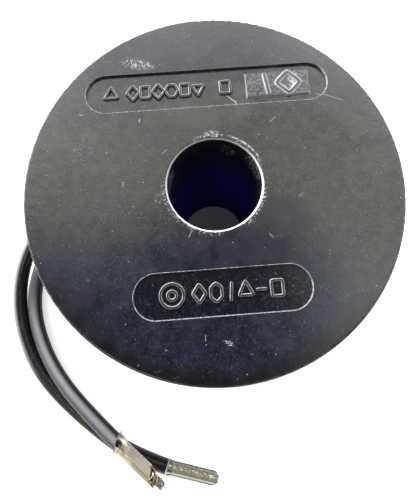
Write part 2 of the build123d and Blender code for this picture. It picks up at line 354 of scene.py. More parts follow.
def make_ferrule(name, ferrule, press, material):
    """A sleeve of strip: the profile runs along the outside, over the cut end, back along the inside and
    over the mouth, and each point is carried round the rounded-rectangle outline of its distance.
    press(x, y, z) gives how far the tool pushed the outside in."""
    outside = np.linspace(0, ferrule.length, FERRULE_ROWS)
    inside = np.linspace(ferrule.length, 0, FERRULE_ROWS // 3)
    z = np.concatenate([outside, [ferrule.length + STRIP_EDGE], inside, [-STRIP_EDGE]])
    wall = np.concatenate([np.zeros(FERRULE_ROWS), [FERRULE_WALL / 2],
                           np.full(FERRULE_ROWS // 3, FERRULE_WALL), [FERRULE_WALL / 2]])
    width, height, corner = ferrule.sizes(z)
    share = np.linspace(0, 1, FERRULE_COLUMNS + 1)
    z, wall = z[:, None], wall[:, None]
    x, y = rounded_outline(width[:, None] - 2 * wall, height[:, None] - 2 * wall,
                           np.maximum(corner[:, None] - wall, SMALLEST_CORNER), share[None, :])
    z = z + ferrule.lean(x, y, z)
    depth = press(x, y, z) * (1 - wall / FERRULE_WALL)
    y = y - np.sign(y) * depth
    flat_width, flat_height, flat_corner = ferrule.table[-1, 1:]
    outline = 2 * (flat_width + flat_height) - (8 - 2 * np.pi) * flat_corner
    depth_mark = z + np.where(wall >= FERRULE_WALL, INSIDE_MARK, 0.0)
    marks = np.stack([np.broadcast_to(share * outline, z.shape), depth_mark], axis=-1)
    marks = np.concatenate([marks, marks[:1]])
    shape = ferrule.world(x, y, z)[:, :-1]
    return mesh_piece(name, [(shape[None], marks[None], True)], material)


CORE_SIZE = 1.8                           # across the strands where they come out of the insulation
CORE_SPREAD = 2.0                         # the length over which the tool has spread them
CORE_CORNER = 0.2
CORE_ROWS = 24
CORE_COLUMNS = 48


def pressed_core(ferrule, start, end, clearance):
    """The strands squeezed to one block inside the sleeve: rounded rectangles from start to end, closed by
    drawing both ends to their middle."""
    z = np.concatenate([[start], np.linspace(start, end, CORE_ROWS), [end]])
    width, height, _ = ferrule.sizes(z)
    inset = FERRULE_WALL + clearance
    share = np.linspace(0, 1, CORE_COLUMNS + 1)
    size = np.ones(len(z))
    size[[0, -1]] = 0.0
    grown = np.clip((z - start) / CORE_SPREAD, 0, 1)[:, None]
    x, y = rounded_outline(np.minimum(width[:, None] - 2 * inset, CORE_SIZE + 2 * grown),
                           np.minimum(height[:, None] - 2 * inset, CORE_SIZE + grown),
                           np.full((len(z), 1), CORE_CORNER), share[None, :])
    x, y = x * size[:, None], y * size[:, None]
    z = z[:, None] + ferrule.lean(x, y, z[:, None])
    marks = np.stack([np.broadcast_to(share * 8, z.shape), end + 1 - z], axis=-1)
    marks = np.concatenate([marks, marks[-1:]])
    return ferrule.world(x, y, z)[None, :, :-1], marks[None], False


CORE_RADIUS = 1.0
CORE_LOBES = 12


def lead_core(route):
    """The strand bundle inside the insulation, as a lobed tube along the route's own spline that starts in
    the splice and ends at the insulation's end."""
    line = route_line(route)
    back = line[0] - line[1]
    line = np.concatenate([[line[0] + back / np.linalg.norm(back) * BARE_LENGTH], line])
    return tubes(line[None], CORE_RADIUS, CORE_COLUMNS, (0, 0, 1), lobes=CORE_LOBES, lobe_depth=0.12)


def bezier(corners, steps):
    """Bezier curves (copies, steps, 3) over their control points (copies, corners, 3)."""
    degree = corners.shape[1] - 1
    share = np.linspace(0, 1, steps)[:, None]
    order = np.arange(degree + 1)
    weights = np.array([math.comb(degree, k) for k in order])
    return np.einsum("sk,ckd->csd", weights * share ** order * (1 - share) ** (degree - order), corners)


STUB_STRANDS = 8
STUB_STRAND_RADIUS = 0.27
STUB_PITCH = 6.0
STUB_ROOT = 2.8                           # how far back inside the sleeve the twist starts
STUB_REACH = 3.3                          # how far its longest strand stands out
STUB_UNEVEN = 0.55
STUB_CORE_REACH = 3.1
STUB_HELIX = 0.46                         # helix radius inside the sleeve, and what it gains outside
STUB_SWELL = 0.19
STUB_STEPS, STUB_COLUMNS = 40, 14


def twisted_stub(ferrule, chance):
    """Strands that leave sleeve A: helices about the sleeve's axis that swell to the stub's full size and
    end unevenly, round one straight strand."""
    uneven = chance.uniform(0.0, STUB_UNEVEN, STUB_STRANDS)
    reach = np.append(ferrule.length + STUB_REACH - uneven, ferrule.length + STUB_CORE_REACH)
    share = np.linspace(0, 1, STUB_STEPS)
    z = (ferrule.length - STUB_ROOT) + share * (reach[:, None] - ferrule.length + STUB_ROOT)
    start = np.append(np.arange(STUB_STRANDS) * 2 * np.pi / STUB_STRANDS, 0)
    swell = STUB_HELIX + STUB_SWELL * np.clip(z - ferrule.length - 0.1, 0, 1)
    swell[-1] = 0.0
    angle = start[:, None] + z * 2 * np.pi / STUB_PITCH
    lines = ferrule.world(swell * np.cos(angle), swell * np.sin(angle), z)
    radii = STUB_STRAND_RADIUS * np.sqrt(np.clip((1 - share) * 25, 0.2, 1))
    return tubes(lines, radii, STUB_COLUMNS, ferrule.broad)


# Loose strands at sleeve A: (along, across towards the lower left, above the axis) in millimetres.
LOOSE_STRANDS = [
    [(10.45, 1.3, 0.9), (10.6, 0.5, 1.4), (10.85, -0.4, 1.4), (10.75, -0.9, 1.3), (10.5, -1.2, 0.9)],
    [(10.4, -0.8, 0.9), (10.9, -0.7, 1.4), (11.5, -0.1, 1.4), (12.0, 0.7, 1.1), (12.05, 1.4, 0.8)],
    [(11.8, -0.9, 0.7), (12.1, -0.5, 1.2), (12.2, 0.2, 1.25), (12.15, 0.9, 1.1), (12.05, 1.4, 0.8)],
    [(9.6, 1.2, 0.3), (10.3, 1.3, 0.6), (10.8, 1.2, 0.9), (11.3, 0.8, 1.1), (11.8, 0.6, 1.0)],
    [(9.8, 1.2, 0.6), (10.4, 1.1, 1.0), (11.0, 0.8, 1.2), (11.5, 0.3, 1.2), (12.0, 0.1, 1.1)],
    [(9.0, -1.5, 0.8), (9.9, -1.75, 1.0), (10.4, -1.7, 1.1), (10.75, -1.2, 1.1), (10.8, -0.7, 0.9)],
]
LOOSE_RADIUS = 0.18
LOOSE_STEPS, LOOSE_COLUMNS = 32, 10


def loose_strands(ferrule):
    """Thin strands that missed the stub: Bezier curves that cross over the cut end."""
    along, across, above = np.moveaxis(np.array(LOOSE_STRANDS), -1, 0)
    x = across * math.cos(ferrule.roll) + above * math.sin(ferrule.roll)
    y = across * math.sin(ferrule.roll) - above * math.cos(ferrule.roll)
    lines = bezier(ferrule.world(x, y, along), LOOSE_STEPS)
    return tubes(lines, LOOSE_RADIUS, LOOSE_COLUMNS, ferrule.axis)


TIP_RADIUS = 0.21
TIP_ROOT = 1.6                            # how far back inside the sleeve the rods start
TIP_REACH = (0.08, 0.42)
TIP_TAPER = (1, 1, 1, 1, 1, 1, 0.95, 0.75)
TIP_COLUMNS = 12
TIP_CLEARANCE = 0.1                       # left over in the sleeve's width and height
TIP_ROW_PITCH = 1.75                      # between rows of the hexagonal order, in strand radii
TIP_CUT_BACK = 0.75                       # how far the outermost strands stay behind
TIP_CUT_FROM, TIP_CUT_OVER = 0.65, 0.7    # where that starts across the sleeve, and how fast it grows


def cut_tips(ferrule, chance):
    """Strand ends in sleeve B's end: short straight rods in hexagonal order, cut off unevenly and further
    back where the sleeve's corners are cut."""
    width, height = ferrule.table[-1, 1:3] - 2 * FERRULE_WALL - TIP_CLEARANCE
    rows, columns = int(height / (TIP_RADIUS * TIP_ROW_PITCH)), int(width / (TIP_RADIUS * 2))
    j, i = np.meshgrid(np.arange(rows), np.arange(columns), indexing="ij")
    x = ((i + 0.5 * (j % 2) + 0.25) / columns - 0.5) * width
    y = ((j + 0.5) / rows - 0.5) * height
    x, y = x.ravel(), y.ravel()
    reach = ferrule.length + chance.uniform(*TIP_REACH, x.size)
    reach -= TIP_CUT_BACK * np.clip((np.abs(x) - TIP_CUT_FROM) / TIP_CUT_OVER, 0, 1)
    share = np.linspace(0, 1, len(TIP_TAPER))
    z = ferrule.length - TIP_ROOT + share * (reach[:, None] - ferrule.length + TIP_ROOT)
    spread = 1 + 0.05 * np.clip(z - ferrule.length, 0, 1)
    lines = ferrule.world(x[:, None] * spread, y[:, None] * spread, z)
    return tubes(lines, TIP_RADIUS * np.array(TIP_TAPER), TIP_COLUMNS, ferrule.broad)


# Each table holds rows of distance from the mouth, width, height and corner radius.
FERRULE_A = Ferrule(
    LEAD_A_ROUTE[-1], heading=-43.5, rise=1.0, roll=24.0, entry=0.9, length=10.8,
    table=[(0.0, 4.6, 4.3, 1.6), (0.4, 4.15, 4.1, 1.5), (1.0, 4.05, 3.9, 1.35), (2.3, 3.35, 2.25, 0.6),
           (3.4, 3.2, 2.0, 0.42)],
    mouth_slant=24.0, end_slant=34.0, end_tilt=0.6, corner_cut=0.0)
FERRULE_B = Ferrule(
    LEAD_B_ROUTE[-1], heading=-17.3, rise=-2.0, roll=20.0, entry=-0.25, length=11.7,
    table=[(0.0, 3.6, 3.6, 1.7), (0.35, 3.35, 3.2, 1.5), (1.35, 2.95, 2.05, 0.5), (1.6, 2.95, 2.0, 0.42)],
    mouth_slant=0.0, end_slant=0.0, end_tilt=0.0, corner_cut=0.65)
WAVES_A, WAVES_B = 0.014, 0.012           # half the depth of the waves that the tool left
DIMPLE_DEPTH = 0.14
FACET_SLOPE, FACET_DEPTH = 0.3, 0.2
PIT_START, PIT_PITCH, PIT_COUNT, PIT_DEPTH = 1.9, 1.05, 9, 0.08


def press_a(x, y, z):
    """Sleeve A: shallow waves left by the tool, a dimple by the mouth and a side pressed to a facet."""
    top = y < 0
    waves = WAVES_A * np.sin(0.9 * z + 0.8) * np.cos(1.1 * x)
    dimple = DIMPLE_DEPTH * np.exp(-((z - 0.5) / 0.45) ** 2 - ((x - 0.4) / 0.5) ** 2)
    crease = 0.75 - 0.6 * np.clip((3.6 - z) / 2.2, 0, 1)
    facet = np.clip(FACET_SLOPE * (x - crease), 0, FACET_DEPTH)
    return np.where(top, waves + dimple + facet, waves * 0.5)


def press_b(x, y, z):
    """Sleeve B: a row of pits struck into the top face, one tool tooth each."""
    struck = np.arange(PIT_COUNT)
    pits = PIT_START + PIT_PITCH * struck + 0.12 * np.sin(5.1 * struck)
    side = -0.25 + 0.1 * np.sin(3.3 * struck)
    force = 0.75 + 0.25 * np.sin(2.1 * struck + 1.0)
    row = (force * np.exp(-((z[..., None] - pits) / 0.36) ** 2 - ((x[..., None] - side) / 0.3) ** 2)).sum(-1)
    waves = WAVES_B * np.sin(1.6 * z + 1.0) * np.cos(1.7 * x)
    return np.where(y < 0, PIT_DEPTH * row + waves, waves)


# ---------------------------------------------------------------- raised marks
RECESS_DEPTH = 0.55
RECESS_FLOOR = FACE - RECESS_DEPTH
RECESS_RADIUS = 3.65
UPPER_RECESS = (0.0, 17.9, 17.95)         # middle x, middle y, half its straight length
LOWER_RECESS = (0.0, -17.9, 10.6)
PAD_X, PAD_Y = 12.65, 17.9
PAD_HALF_WIDTH, PAD_HALF_HEIGHT = 5.65, 2.35
PAD_TOP = RECESS_FLOOR + 0.4
MARK = {"width": 0.8, "top": 0.34, "height": 0.4}
PAD_MARK = {"width": 1.05, "top": 0.7, "height": 0.13}
MARK_SINK = 0.06                          # how far a stroke's foot goes into the floor it stands on


def polygon_line(sides, x, y, width, height, turn, steps=96):
    """A closed outline: the polar radius of a regular polygon, cos(pi/n) / cos(angle within a side),
    eased towards a circle at its corners and stretched to width and height."""
    angle = np.linspace(0, 2 * np.pi, steps, endpoint=False) + math.radians(turn)
    half = np.pi / sides
    within = (angle - math.radians(turn)) % (2 * half) - half
    radius = math.cos(half) / np.cos(within)
    radius = radius / (1 + 0.06 * np.exp(-((np.abs(within) - half) / 0.12) ** 2))
    return np.stack([x + width / 2 * radius * np.cos(angle), y + height / 2 * radius * np.sin(angle)], -1)


def bar_line(x, y, length, turn, steps=24):
    """A straight stroke."""
    along = np.linspace(-0.5, 0.5, steps) * length
    turn = math.radians(turn)
    return np.stack([x + along * math.cos(turn), y + along * math.sin(turn)], -1)


def ribbon(line, closed, floor, width, top, height):
    """A raised stroke: a trapezoid with eased shoulders carried along a line in the plane of the floor.
    An open line's ends are rounded off by narrowing the section as cos while it moves on as sin."""
    half = np.array([width / 2, width / 2, top / 2 + 0.05, top / 2 - 0.02])
    offset = np.concatenate([-half, half[::-1]])
    rise = np.array([-MARK_SINK, 0.0, 0.8 * height, height])
    rise = np.concatenate([rise, rise[::-1]])
    narrow = np.ones(len(line))
    if closed:
        run = np.roll(line, -1, axis=0) - np.roll(line, 1, axis=0)
    else:
        turn = np.linspace(0, np.pi / 2, 7)[1:, None]
        first, last = line[0] - line[1], line[-1] - line[-2]
        first, last = first / np.linalg.norm(first), last / np.linalg.norm(last)
        line = np.concatenate([line[0] + first * (np.sin(turn) * width / 2)[::-1], line,
                               line[-1] + last * np.sin(turn) * width / 2])
        narrow = np.concatenate([np.cos(turn[::-1, 0]), narrow, np.cos(turn[:, 0])])
        run = np.gradient(line, axis=0)
    run = run / np.linalg.norm(run, axis=1, keepdims=True)
    normal = np.stack([-run[:, 1], run[:, 0]], -1)
    flat = line[:, None] + normal[:, None] * (offset[None, :, None] * narrow[:, None, None])
    lift = floor + rise[None, :] * np.where(rise > 0, np.minimum(1, 1.6 * narrow)[:, None], 1)
    shape = np.concatenate([flat, np.broadcast_to(lift, flat.shape[:2])[..., None]], -1)
    across = np.append(offset, offset[0])[None, :] * np.ones((len(line) + 1, 1))
    facing = np.sign(across) * np.append(normal, normal[:1], axis=0)[:, 1:]
    return shape[None], np.stack([across, facing], -1)[None], closed


# Stand-ins for the moulded characters: (sides, middle x, width, height, turn); 0 sides is a bar.
UPPER_MARKS = [
    (3, -17.1, 2.7, 2.9, 90), (4, -13.2, 2.2, 2.9, 0), (4, -11.0, 2.3, 3.2, 45), (4, -8.7, 2.3, 2.9, 0),
    (6, -6.3, 2.3, 2.7, 0), (4, -3.9, 2.3, 3.2, 45), (3, -1.6, 2.5, 2.8, -90), (4, 3.3, 2.5, 3.3, 45),
]
LOWER_MARKS = [
    (40, -8.1, 3.9, 3.9, 0), (40, -8.1, 1.5, 1.5, 0), (4, -3.8, 2.1, 3.0, 0), (6, -1.1, 2.1, 3.0, 90),
    (0, 1.3, 0.0, 2.4, 84), (3, 3.6, 2.7, 3.0, 90), (0, 6.1, 0.0, 1.1, 0), (4, 8.6, 2.6, 3.5, 45),
]
# On the pad: a bar (middle x and y, length, turn) and a frame (sides, middle x and y, width, height, turn).
PAD_BAR = (10.7, 17.9, 3.4, 97)
PAD_FRAME = (4, 14.6, 17.95, 4.3, 4.3, 0)


def mark_strokes(marks, y):
    """Each mark's stroke on a recess's floor."""
    strokes = []
    for sides, x, width, height, turn in marks:
        if sides:
            line = polygon_line(sides, x, y, width, height, turn)
        else:
            line = bar_line(x, y, height, turn)
        strokes.append(ribbon(line, bool(sides), RECESS_FLOOR, **MARK))
    return strokes


# ---------------------------------------------------------------- patterns
def ramp(tree, value, start, end, low=0.0, high=1.0):
    """A value that eases from low at start to high at end, also where start is the larger."""
    if start > end:
        start, end, low, high = end, start, high, low
    return add(tree, "MapRange", {"Value": value, "From Min": start, "From Max": end,
                                  "To Min": low, "To Max": high}, interpolation_type="SMOOTHSTEP")


def distance_from(tree, value, middle):
    """How far a value is from a middle, either way."""
    away = add(tree, "Math", {0: value, 1: middle}, operation="SUBTRACT")
    return add(tree, "Math", {0: away}, operation="ABSOLUTE")


def band(tree, value, middle, half, soft):
    """1 where a value is within half of its middle, falling to 0 over soft."""
    return ramp(tree, distance_from(tree, value, middle), half + soft, half)


def merged(tree, masks, operation):
    """Several masks as one, by the same operation on each in turn."""
    found = masks[0]
    for mask in masks[1:]:
        found = add(tree, "Math", {0: found, 1: mask}, operation=operation)
    return found


def strongest(tree, masks):
    """The largest of several masks."""
    return merged(tree, masks, "MAXIMUM")


def both(tree, *masks):
    """The product of several masks."""
    return merged(tree, masks, "MULTIPLY")


def slot_distance(tree, mm, middle, half_length, radius, turn=0.0):
    """Distance in millimetres outside a straight slot's outline: from the point to the slot's middle line,
    less the radius."""
    place = add(tree, "Mapping", {"Vector": mm, "Location": (*middle, 0.0),
                                  "Rotation": (0.0, 0.0, math.radians(turn))}, vector_type="TEXTURE")
    axes = add(tree, "SeparateXYZ", {0: place})
    along = distance_from(tree, pick(axes.outputs, "X"), 0.0)
    past = add(tree, "Math", {0: along, 1: half_length}, operation="SUBTRACT")
    past = add(tree, "Math", {0: past, 1: 0.0}, operation="MAXIMUM")
    across = add(tree, "CombineXYZ", {0: past, 1: pick(axes.outputs, "Y")})
    length = add(tree, "VectorMath", {0: across}, operation="LENGTH")
    return add(tree, "Math", {0: length, 1: radius}, operation="SUBTRACT")


def patch(tree, mm, middle, size, turn=0.0):
    """1 in the middle of an ellipse of half axes size, easing to 0 at its outline."""
    place = add(tree, "Mapping", {"Vector": mm, "Location": middle, "Scale": size,
                                  "Rotation": (0.0, 0.0, math.radians(turn))}, vector_type="TEXTURE")
    length = add(tree, "VectorMath", {0: place}, operation="LENGTH")
    return ramp(tree, length, 1.0, 0.45)


PATCH_DEPTH = 2.0                          # how far a patch on the face goes into it


def face_patches(tree, mm, places):
    """The strongest of several patches on the face: (middle, half axes, turn, strength) of each."""
    masks = [both(tree, patch(tree, mm, (*middle, FACE), (*half_axes, PATCH_DEPTH), turn), strength)
             for middle, half_axes, turn, strength in places]
    return strongest(tree, masks)


def dust(tree, mm, cell, share, size):
    """Round specks: the middles of a share of the cells of a 3D Voronoi pattern, cut at their size."""
    cells = add(tree, "TexVoronoi", {"Vector": mm, "Scale": 1 / cell})
    chance = add(tree, "SeparateXYZ", {0: pick(cells.outputs, "Color")})
    picked = ramp(tree, pick(chance.outputs, "X"), 1 - share, 1 - share * 0.7)
    dot = ramp(tree, pick(cells.outputs, "Distance"), size / cell, size / cell * 0.4)
    level = ramp(tree, pick(chance.outputs, "Y"), 0.0, 1.0, 0.25, 1.0)
    return both(tree, picked, dot, level)


def hairlines(tree, mm, turn, length, width, share):
    """Fine scratches one way: the crests of a noise stretched along the scratch."""
    place = add(tree, "Mapping", {"Vector": mm, "Rotation": (0.0, 0.0, math.radians(turn)),
                                  "Scale": (length, width, width * 4)}, vector_type="TEXTURE")
    noise = add(tree, "TexNoise", {"Vector": place, "Scale": 1.0, "Detail": 1.0, "Roughness": 0.4})
    return ramp(tree, noise, 1 - share, 1 - share * 0.8)


# ---------------------------------------------------------------- the moulding's material
RESIN_IOR = 1.6
# Long single scratches on the face: middle, half length, half width (mm), turn from +X, strength.
SCRATCHES = [
    ((4.1, 15.7), 1.1, 0.05, -44, 0.9), ((5.0, 14.7), 0.35, 0.05, -80, 0.8),
    ((-4.6, -8.3), 0.55, 0.05, 62, 0.45), ((-3.3, -24.6), 0.4, 0.04, 84, 0.4),
    ((21.5, 14.6), 2.4, 0.05, -24, 0.3), ((11.0, 10.9), 0.7, 0.05, 40, 0.35),
    ((-12.2, 12.4), 0.25, 0.08, 80, 0.5), ((-22.4, 14.2), 0.2, 0.06, -8, 0.45),
    ((-15.3, 1.0), 0.4, 0.05, 70, 0.3), ((14.2, -3.0), 0.5, 0.04, 30, 0.3),
    ((8.5, -9.5), 0.4, 0.05, -50, 0.35), ((-8.1, 6.3), 0.5, 0.05, 35, 0.3),
]
# Places on the face: middle, half axes, turn, strength. First those that are rubbed,
SCUFFS = [
    ((-12.2, 23.5), (3.7, 1.4), -14, 0.8), ((0.2, -25.6), (1.1, 0.5), -35, 1.0),
    ((0.4, 8.9), (2.0, 0.75), -10, 1.0), ((7.3, 3.0), (0.9, 2.2), 10, 1.0),
    ((-4.7, -6.4), (2.2, 0.8), -40, 1.0), ((-9.5, -2.0), (0.8, 1.2), 10, 0.5),
    ((-22.0, 8.0), (4.0, 2.5), 50, 0.1),
]
# then patches of painted shade, a patch of painted light, the pad's rubbed end and the bore's scraped arc.
PAINTED_SHADE_PATCHES = [
    ((11.2, -6.9), (6.5, 5.0), -20, 0.75), ((4.0, -11.5), (18.0, 5.5), 0, 0.6),
    ((-25.6, -19.8), (12.0, 9.0), -40, 0.65),
]
# A patch of painted light high on the face, below the upper recess.
PAINTED_LIGHT_PATCHES = [((0.5, 15.0), (11.0, 6.5), 0, 0.45)]
PAD_RUB = [((15.6, 18.2), (1.2, 2.1), 0, 1.0)]
BORE_ARC = [((6.0, 6.4), (4.2, 4.2), 0, 1.0)]
# Chafed places on the bore's wall: middle and half axes.
CHAFES = [
    ((7.1, 3.4, 45.0), (2.0, 3.4, 3.6)), ((-7.7, 2.0, 44.5), (1.5, 2.6, 3.2)),
    ((3.0, 7.3, 43.5), (1.6, 1.5, 2.6)),
]
# Noises of the thermoset's skin: millimetres, detail, roughness, distortion.
RESIN_NOISES = {
    "clouds": (8.0, 3.0, 0.55, 0.0), "stain": (4.0, 3.0, 0.65, 0.0), "blotch": (1.6, 3.0, 0.7, 0.0),
    "broken": (1.3, 3.0, 0.7, 0.0), "curls": (0.75, 1.0, 0.5, 1.2), "chips": (0.6, 3.0, 0.75, 0.0),
    "grain": (0.35, 1.0, 0.6, 0.0),
}


def resin_places(tree, mm):
    """Where a point of the moulding lies, in millimetres, with the noises of its skin."""
    axes = add(tree, "SeparateXYZ", {0: mm})
    x, y, level = (pick(axes.outputs, axis) for axis in "XYZ")
    flat = add(tree, "CombineXYZ", {0: x, 1: y})
    found = SimpleNamespace(x=x, y=y, level=level)
    found.from_axis = add(tree, "VectorMath", {0: flat}, operation="LENGTH")
    found.upper = slot_distance(tree, mm, UPPER_RECESS[:2], UPPER_RECESS[2], RECESS_RADIUS)
    found.lower = slot_distance(tree, mm, LOWER_RECESS[:2], LOWER_RECESS[2], RECESS_RADIUS)
    found.near_face = ramp(tree, level, FACE - 0.7, FACE - 0.6)
    found.in_lower = both(tree, ramp(tree, found.lower, -0.05, -0.25), found.near_face)
    for name, (size, detail, roughness, distortion) in RESIN_NOISES.items():
        setattr(found, name, add(tree, "TexNoise", {"Vector": mm, "Scale": 1 / size, "Detail": detail,
                                                    "Roughness": roughness, "Distortion": distortion}))
    return found


def resin_skin(tree, mm, at):
    """The unworn skin's colour with light and shade painted in: navy painted shade low on the face and olive
    painted light high up, also in the cloudy filler and its grains; patches of painted shade, painted black
    shade along the rim low down, a patch of painted light, a dark lower recess and the grey speckled pad."""
    # Painted light and shade: high up and to the right, where the light falls, the skin, its filler and
    # grains are tinted olive; elsewhere the skin is tinted navy as shade.
    drift = add(tree, "Math", {0: at.clouds, 1: 14.0}, operation="MULTIPLY")
    height = add(tree, "Math", {0: at.y, 1: drift}, operation="ADD")
    to_right = ramp(tree, at.x, 8.0, 30.0, 0.0, 14.0)
    height = add(tree, "Math", {0: height, 1: to_right}, operation="ADD")
    painted_lit_zone = both(tree, ramp(tree, height, -6.0, 6.0), ramp(tree, at.y, 28.0, 10.0))
    navy_painted_shade = layered(tree, "#010712", (ramp(tree, at.stain, 0.42, 0.62), "#0d0a20"))
    olive_painted_light = layered(tree, "#0e0f07", (ramp(tree, at.stain, 0.4, 0.62), "#191912"))
    cloudy = layered(tree, "#10172a", (painted_lit_zone, "#26271c"))
    glint = layered(tree, "#2b2c34", (painted_lit_zone, "#37383a"))
    grains = both(tree, ramp(tree, at.grain, 0.48, 0.72), ramp(tree, at.broken, 0.3, 0.6))
    # Painted shade: the skin near the rim, low on the face, is darkened to black.
    outward = ramp(tree, at.from_axis, BODY_RADIUS - 3.4, BODY_RADIUS - 0.8)
    painted_rim_shade = both(tree, outward, ramp(tree, at.y, -8.0, -22.0), 0.85)
    dark_floor = both(tree, at.in_lower, ramp(tree, at.grain, 0.75, 0.35))
    pad = both(tree, band(tree, at.x, PAD_X, PAD_HALF_WIDTH, 0.05),
               band(tree, at.y, PAD_Y, PAD_HALF_HEIGHT, 0.05),
               ramp(tree, at.level, PAD_TOP - 0.35, PAD_TOP - 0.2))
    speckled = layered(tree, "#2b2b2e", (ramp(tree, at.grain, 0.4, 0.62), "#5c5c62"))
    # Painted shade patches, painted rim shade and a painted light patch lie among the skin's own colours.
    return layered(tree, navy_painted_shade, (painted_lit_zone, olive_painted_light), (ramp(tree, at.blotch, 0.38, 0.66), cloudy), (grains, glint),
                   (face_patches(tree, mm, PAINTED_SHADE_PATCHES), "#04041a"), (painted_rim_shade, "#010103"),
                   (face_patches(tree, mm, PAINTED_LIGHT_PATCHES), "#44443c"), (dark_floor, "#07080f"), (pad, speckled))


def chipped_and_highlit_edges(tree, at):
    """Pale broken lines along the edges of the recesses, the pad and the face: chipped wear, with painted
    highlight where the upper recess's lower edge and the face's rim catch the light.
    """
    sides, ends = [], []
    for place, middle, half in ((at.x, PAD_X, PAD_HALF_WIDTH), (at.y, PAD_Y, PAD_HALF_HEIGHT)):
        away = distance_from(tree, place, middle)
        sides.append(band(tree, away, half, 0.03, 0.1))
        ends.append(band(tree, away, 0.0, half + 0.1, 0.05))
    pad_rim = both(tree, strongest(tree, sides), *ends, ramp(tree, at.broken, 0.3, 0.55, 0.2, 0.75))
    # Painted highlight: the upper recess's pale edge line is strongest on its lit lower side.
    lit_side = ramp(tree, at.y, UPPER_RECESS[1] + 3.4, UPPER_RECESS[1] + 1.5, 0.12, 1.0)
    upper_rim = both(tree, band(tree, at.upper, -0.02, 0.05, 0.09), lit_side,
                     ramp(tree, at.chips, 0.42, 0.62, 0.25, 1.0))
    lower_rim = both(tree, band(tree, at.lower, 0.0, 0.02, 0.09), ramp(tree, at.chips, 0.35, 0.62, 0.25, 1.0))
    # The face's rim: wear with a painted highlight where the edge catches the light.
    rim_wear_and_highlight = both(tree, band(tree, at.from_axis, BODY_RADIUS - 0.2, 0.1, 0.15),
               ramp(tree, at.broken, 0.45, 0.75, 0.05, 0.5), ramp(tree, at.y, -26.0, -14.0, 0.1, 1.0))
    return both(tree, strongest(tree, [upper_rim, lower_rim, pad_rim, rim_wear_and_highlight]), at.near_face)


def rubbed_places(tree, mm, at):
    """Pale wear away from the edges: scuffs, cuts, hairlines, dust, a frayed ring and a scraped arc round
    the bore, chafes on its wall and the pad's rubbed end."""
    curl = band(tree, at.curls, 0.5, 0.012, 0.03)
    rub = strongest(tree, [curl, ramp(tree, at.grain, 0.62, 0.8)])
    scuffed = both(tree, face_patches(tree, mm, SCUFFS), rub)
    cuts = [both(tree, ramp(tree, slot_distance(tree, mm, middle, half, width, turn), 0.06, -0.02), strength)
            for middle, half, width, turn, strength in SCRATCHES]
    cuts = both(tree, strongest(tree, cuts), at.near_face)
    hairs = strongest(tree, [hairlines(tree, mm, turn, 2.2, 0.16, 0.27) for turn in (18, 74, -47)])
    hairs = both(tree, hairs, ramp(tree, at.clouds, 0.4, 0.6, 0.02, 0.14))
    specks = both(tree, dust(tree, mm, 0.36, 0.04, 0.1), ramp(tree, at.blotch, 0.35, 0.6, 0.25, 1.0))
    fray = both(tree, band(tree, at.from_axis, BORE_RADIUS + 0.35, 0.15, 0.7),
                ramp(tree, at.grain, 0.5, 0.72), ramp(tree, at.clouds, 0.42, 0.6), at.near_face)
    arc = both(tree, band(tree, at.from_axis, BORE_RADIUS + 0.9, 0.05, 0.15),
               face_patches(tree, mm, BORE_ARC), ramp(tree, at.chips, 0.4, 0.56))
    wall = ramp(tree, at.from_axis, BORE_RADIUS + 0.02, BORE_RADIUS - 0.02)
    chafed = strongest(tree, [patch(tree, mm, *chafe) for chafe in CHAFES])
    bore_hairs = both(tree, hairlines(tree, mm, 0, 0.3, 0.3, 0.47), wall, ramp(tree, chafed, 0.0, 0.5))
    pad_rub = both(tree, face_patches(tree, mm, PAD_RUB), ramp(tree, at.grain, 0.4, 0.6))
    return strongest(tree, [scuffed, cuts, hairs, specks, fray, arc, bore_hairs, pad_rub])


def moulded_resin():
    """Black mineral-filled thermoset, compression moulded: a satin skin that went cloudy, with pale abrasion
    on edges and where things rubbed, painted highlights along some edges, dust in the grain, painted navy
    shade down the bore and lips worn pale with a painted highlight on their lower side."""
    made, tree, mm = new_material("moulded_black_thermoset")
    at = resin_places(tree, mm)
    wear_and_painted_light = strongest(tree, [chipped_and_highlit_edges(tree, at), rubbed_places(tree, mm, at)])
    in_bore = ramp(tree, at.from_axis, BORE_RADIUS + 0.03, BORE_RADIUS - 0.03)
    # Painted shade down the bore: its wall is tinted navy, bluer the deeper it goes.
    painted_bore_shade = layered(tree, "#01010f", (ramp(tree, at.level, FACE - 3.0, FACE - 12.0), "#020248"),
                   (ramp(tree, at.level, FACE - 10.0, FACE - 30.0), "#0a0adc"))
    bore_lip = both(tree, band(tree, at.from_axis, BORE_RADIUS + 0.13, 0.12, 0.06),
                    ramp(tree, at.from_axis, BORE_RADIUS + 0.01, BORE_RADIUS + 0.05))
    # The bore's lips: worn pale, with a painted highlight that makes them brightest on their lower side.
    pale_and_painted_highlight = layered(tree, "#f4f4f6", (ramp(tree, at.y, -2.0, 8.0), "#a4a4a6"))
    base = layered(tree, resin_skin(tree, mm, at), (in_bore, painted_bore_shade), (wear_and_painted_light, "#b4b5b8"), (bore_lip, pale_and_painted_highlight))
    rough = ramp(tree, at.stain, 0.3, 0.7, 0.22, 0.29)
    rough = add(tree, "Mix", {"Factor": at.in_lower, "A": rough, "B": 0.19})
    rough = add(tree, "Mix", {"Factor": strongest(tree, [wear_and_painted_light, bore_lip, in_bore]), "A": rough, "B": 0.6})
    relief = raised(tree, (at.blotch, 0.35, 0.03), (at.grain, 0.35, 0.014))
    surface(tree, Base_Color=base, Roughness=rough, IOR=RESIN_IOR, Normal=relief)
    return made


